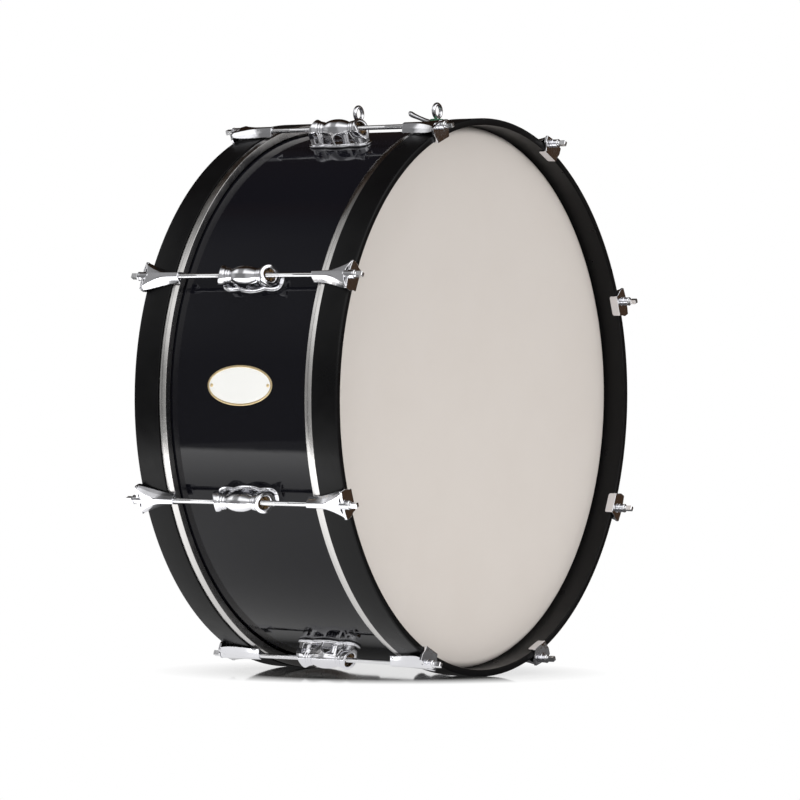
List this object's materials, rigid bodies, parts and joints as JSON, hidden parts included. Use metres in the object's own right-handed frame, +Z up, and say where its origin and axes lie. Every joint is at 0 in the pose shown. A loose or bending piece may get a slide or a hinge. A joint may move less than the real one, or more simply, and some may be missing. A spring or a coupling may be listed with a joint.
{
  "type": "marching bass drum",
  "caption": "Marching bass drum with black shell and hoops, white heads, chromed double-ended lugs, claws and tension rods, and two sling eyes on top.",
  "frame": {"origin": "on the floor under the middle of the drum, which stands on its two hoops", "axes": "+Z up, Y along the drum's axis with the front head facing -Y, +X to the right seen from the front"},
  "size_m": [0.7392, 0.358, 0.7644],
  "materials": {
    "shell_lacquer": "black gloss lacquer over a ply shell",
    "hoop_black": "satin black over laminated wood",
    "head_film": "smooth warm white coated film",
    "flesh_hoop_aluminium": "bright drawn aluminium",
    "fitting_chrome": "polished chrome plate on zinc castings",
    "tension_steel": "chrome plate on rolled steel rod",
    "inner_steel": "plain zinc-plated steel",
    "badge_enamel": "white enamel with a gilt rim, no lettering"
  },
  "bodies": {
    "drum": {"shell": "shell_lacquer", "front_hoop": "hoop_black", "rear_hoop": "hoop_black", "front_flesh_hoop": "flesh_hoop_aluminium", "rear_flesh_hoop": "flesh_hoop_aluminium", "front_head": "head_film", "rear_head": "head_film", "lug_1": "fitting_chrome", "lug_2": "fitting_chrome", "lug_3": "fitting_chrome", "lug_4": "fitting_chrome", "lug_5": "fitting_chrome", "lug_6": "fitting_chrome", "lug_7": "fitting_chrome", "lug_8": "fitting_chrome", "lug_fixing_1": "inner_steel", "lug_fixing_2": "inner_steel", "lug_fixing_3": "inner_steel", "lug_fixing_4": "inner_steel", "lug_fixing_5": "inner_steel", "lug_fixing_6": "inner_steel", "lug_fixing_7": "inner_steel", "lug_fixing_8": "inner_steel", "front_sling_eye": "fitting_chrome", "rear_sling_eye": "fitting_chrome", "sling_eye_backing_plate": "inner_steel", "front_eye_lever": "fitting_chrome", "badge": "badge_enamel"},
    "front_claw_1": {"front_claw_1": "fitting_chrome"},
    "front_rod_1": {"front_rod_1": "tension_steel"},
    "front_claw_2": {"front_claw_2": "fitting_chrome"},
    "front_rod_2": {"front_rod_2": "tension_steel"},
    "front_claw_3": {"front_claw_3": "fitting_chrome"},
    "front_rod_3": {"front_rod_3": "tension_steel"},
    "front_claw_4": {"front_claw_4": "fitting_chrome"},
    "front_rod_4": {"front_rod_4": "tension_steel"},
    "front_claw_5": {"front_claw_5": "fitting_chrome"},
    "front_rod_5": {"front_rod_5": "tension_steel"},
    "front_claw_6": {"front_claw_6": "fitting_chrome"},
    "front_rod_6": {"front_rod_6": "tension_steel"},
    "front_claw_7": {"front_claw_7": "fitting_chrome"},
    "front_rod_7": {"front_rod_7": "tension_steel"},
    "front_claw_8": {"front_claw_8": "fitting_chrome"},
    "front_rod_8": {"front_rod_8": "tension_steel"},
    "rear_claw_1": {"rear_claw_1": "fitting_chrome"},
    "rear_rod_1": {"rear_rod_1": "tension_steel"},
    "rear_claw_2": {"rear_claw_2": "fitting_chrome"},
    "rear_rod_2": {"rear_rod_2": "tension_steel"},
    "rear_claw_3": {"rear_claw_3": "fitting_chrome"},
    "rear_rod_3": {"rear_rod_3": "tension_steel"},
    "rear_claw_4": {"rear_claw_4": "fitting_chrome"},
    "rear_rod_4": {"rear_rod_4": "tension_steel"},
    "rear_claw_5": {"rear_claw_5": "fitting_chrome"},
    "rear_rod_5": {"rear_rod_5": "tension_steel"},
    "rear_claw_6": {"rear_claw_6": "fitting_chrome"},
    "rear_rod_6": {"rear_rod_6": "tension_steel"},
    "rear_claw_7": {"rear_claw_7": "fitting_chrome"},
    "rear_rod_7": {"rear_rod_7": "tension_steel"},
    "rear_claw_8": {"rear_claw_8": "fitting_chrome"},
    "rear_rod_8": {"rear_rod_8": "tension_steel"}
  },
  "joints": [
    {"name": "front_claw_1_slide", "type": "slide", "parent": "drum", "child": "front_claw_1", "axis": [0, -1, 0], "range_m": [0, 0.008]},
    {"name": "front_rod_1_turn", "type": "hinge", "parent": "front_claw_1", "child": "front_rod_1", "pos_m": [0.34886, -0.16, 0.51406], "axis": [0, -1, 0], "range_deg": [0, 2880]},
    {"name": "front_claw_2_slide", "type": "slide", "parent": "drum", "child": "front_claw_2", "axis": [0, -1, 0], "range_m": [0, 0.008]},
    {"name": "front_rod_2_turn", "type": "hinge", "parent": "front_claw_2", "child": "front_rod_2", "pos_m": [0.1445, -0.16, 0.71841], "axis": [0, -1, 0], "range_deg": [0, 2880]},
    {"name": "front_claw_3_slide", "type": "slide", "parent": "drum", "child": "front_claw_3", "axis": [0, -1, 0], "range_m": [0, 0.008]},
    {"name": "front_rod_3_turn", "type": "hinge", "parent": "front_claw_3", "child": "front_rod_3", "pos_m": [-0.1445, -0.16, 0.71841], "axis": [0, -1, 0], "range_deg": [0, 2880]},
    {"name": "front_claw_4_slide", "type": "slide", "parent": "drum", "child": "front_claw_4", "axis": [0, -1, 0], "range_m": [0, 0.008]},
    {"name": "front_rod_4_turn", "type": "hinge", "parent": "front_claw_4", "child": "front_rod_4", "pos_m": [-0.34886, -0.16, 0.51406], "axis": [0, -1, 0], "range_deg": [0, 2880]},
    {"name": "front_claw_5_slide", "type": "slide", "parent": "drum", "child": "front_claw_5", "axis": [0, -1, 0], "range_m": [0, 0.008]},
    {"name": "front_rod_5_turn", "type": "hinge", "parent": "front_claw_5", "child": "front_rod_5", "pos_m": [-0.34886, -0.16, 0.22505], "axis": [0, -1, 0], "range_deg": [0, 2880]},
    {"name": "front_claw_6_slide", "type": "slide", "parent": "drum", "child": "front_claw_6", "axis": [0, -1, 0], "range_m": [0, 0.008]},
    {"name": "front_rod_6_turn", "type": "hinge", "parent": "front_claw_6", "child": "front_rod_6", "pos_m": [-0.1445, -0.16, 0.0207], "axis": [0, -1, 0], "range_deg": [0, 2880]},
    {"name": "front_claw_7_slide", "type": "slide", "parent": "drum", "child": "front_claw_7", "axis": [0, -1, 0], "range_m": [0, 0.008]},
    {"name": "front_rod_7_turn", "type": "hinge", "parent": "front_claw_7", "child": "front_rod_7", "pos_m": [0.1445, -0.16, 0.0207], "axis": [0, -1, 0], "range_deg": [0, 2880]},
    {"name": "front_claw_8_slide", "type": "slide", "parent": "drum", "child": "front_claw_8", "axis": [0, -1, 0], "range_m": [0, 0.008]},
    {"name": "front_rod_8_turn", "type": "hinge", "parent": "front_claw_8", "child": "front_rod_8", "pos_m": [0.34886, -0.16, 0.22505], "axis": [0, -1, 0], "range_deg": [0, 2880]},
    {"name": "rear_claw_1_slide", "type": "slide", "parent": "drum", "child": "rear_claw_1", "axis": [0, 1, 0], "range_m": [0, 0.008]},
    {"name": "rear_rod_1_turn", "type": "hinge", "parent": "rear_claw_1", "child": "rear_rod_1", "pos_m": [0.34886, 0.16, 0.51406], "axis": [0, 1, 0], "range_deg": [0, 2880]},
    {"name": "rear_claw_2_slide", "type": "slide", "parent": "drum", "child": "rear_claw_2", "axis": [0, 1, 0], "range_m": [0, 0.008]},
    {"name": "rear_rod_2_turn", "type": "hinge", "parent": "rear_claw_2", "child": "rear_rod_2", "pos_m": [0.1445, 0.16, 0.71841], "axis": [0, 1, 0], "range_deg": [0, 2880]},
    {"name": "rear_claw_3_slide", "type": "slide", "parent": "drum", "child": "rear_claw_3", "axis": [0, 1, 0], "range_m": [0, 0.008]},
    {"name": "rear_rod_3_turn", "type": "hinge", "parent": "rear_claw_3", "child": "rear_rod_3", "pos_m": [-0.1445, 0.16, 0.71841], "axis": [0, 1, 0], "range_deg": [0, 2880]},
    {"name": "rear_claw_4_slide", "type": "slide", "parent": "drum", "child": "rear_claw_4", "axis": [0, 1, 0], "range_m": [0, 0.008]},
    {"name": "rear_rod_4_turn", "type": "hinge", "parent": "rear_claw_4", "child": "rear_rod_4", "pos_m": [-0.34886, 0.16, 0.51406], "axis": [0, 1, 0], "range_deg": [0, 2880]},
    {"name": "rear_claw_5_slide", "type": "slide", "parent": "drum", "child": "rear_claw_5", "axis": [0, 1, 0], "range_m": [0, 0.008]},
    {"name": "rear_rod_5_turn", "type": "hinge", "parent": "rear_claw_5", "child": "rear_rod_5", "pos_m": [-0.34886, 0.16, 0.22505], "axis": [0, 1, 0], "range_deg": [0, 2880]},
    {"name": "rear_claw_6_slide", "type": "slide", "parent": "drum", "child": "rear_claw_6", "axis": [0, 1, 0], "range_m": [0, 0.008]},
    {"name": "rear_rod_6_turn", "type": "hinge", "parent": "rear_claw_6", "child": "rear_rod_6", "pos_m": [-0.1445, 0.16, 0.0207], "axis": [0, 1, 0], "range_deg": [0, 2880]},
    {"name": "rear_claw_7_slide", "type": "slide", "parent": "drum", "child": "rear_claw_7", "axis": [0, 1, 0], "range_m": [0, 0.008]},
    {"name": "rear_rod_7_turn", "type": "hinge", "parent": "rear_claw_7", "child": "rear_rod_7", "pos_m": [0.1445, 0.16, 0.0207], "axis": [0, 1, 0], "range_deg": [0, 2880]},
    {"name": "rear_claw_8_slide", "type": "slide", "parent": "drum", "child": "rear_claw_8", "axis": [0, 1, 0], "range_m": [0, 0.008]},
    {"name": "rear_rod_8_turn", "type": "hinge", "parent": "rear_claw_8", "child": "rear_rod_8", "pos_m": [0.34886, 0.16, 0.22505], "axis": [0, 1, 0], "range_deg": [0, 2880]}
  ],
  "couplings": [
    {"joint": "front_rod_1_turn", "follows": "front_claw_1_slide", "rad_per_m": 6283.2},
    {"joint": "front_rod_2_turn", "follows": "front_claw_2_slide", "rad_per_m": 6283.2},
    {"joint": "front_rod_3_turn", "follows": "front_claw_3_slide", "rad_per_m": 6283.2},
    {"joint": "front_rod_4_turn", "follows": "front_claw_4_slide", "rad_per_m": 6283.2},
    {"joint": "front_rod_5_turn", "follows": "front_claw_5_slide", "rad_per_m": 6283.2},
    {"joint": "front_rod_6_turn", "follows": "front_claw_6_slide", "rad_per_m": 6283.2},
    {"joint": "front_rod_7_turn", "follows": "front_claw_7_slide", "rad_per_m": 6283.2},
    {"joint": "front_rod_8_turn", "follows": "front_claw_8_slide", "rad_per_m": 6283.2},
    {"joint": "rear_rod_1_turn", "follows": "rear_claw_1_slide", "rad_per_m": 6283.2},
    {"joint": "rear_rod_2_turn", "follows": "rear_claw_2_slide", "rad_per_m": 6283.2},
    {"joint": "rear_rod_3_turn", "follows": "rear_claw_3_slide", "rad_per_m": 6283.2},
    {"joint": "rear_rod_4_turn", "follows": "rear_claw_4_slide", "rad_per_m": 6283.2},
    {"joint": "rear_rod_5_turn", "follows": "rear_claw_5_slide", "rad_per_m": 6283.2},
    {"joint": "rear_rod_6_turn", "follows": "rear_claw_6_slide", "rad_per_m": 6283.2},
    {"joint": "rear_rod_7_turn", "follows": "rear_claw_7_slide", "rad_per_m": 6283.2},
    {"joint": "rear_rod_8_turn", "follows": "rear_claw_8_slide", "rad_per_m": 6283.2}
  ]
}
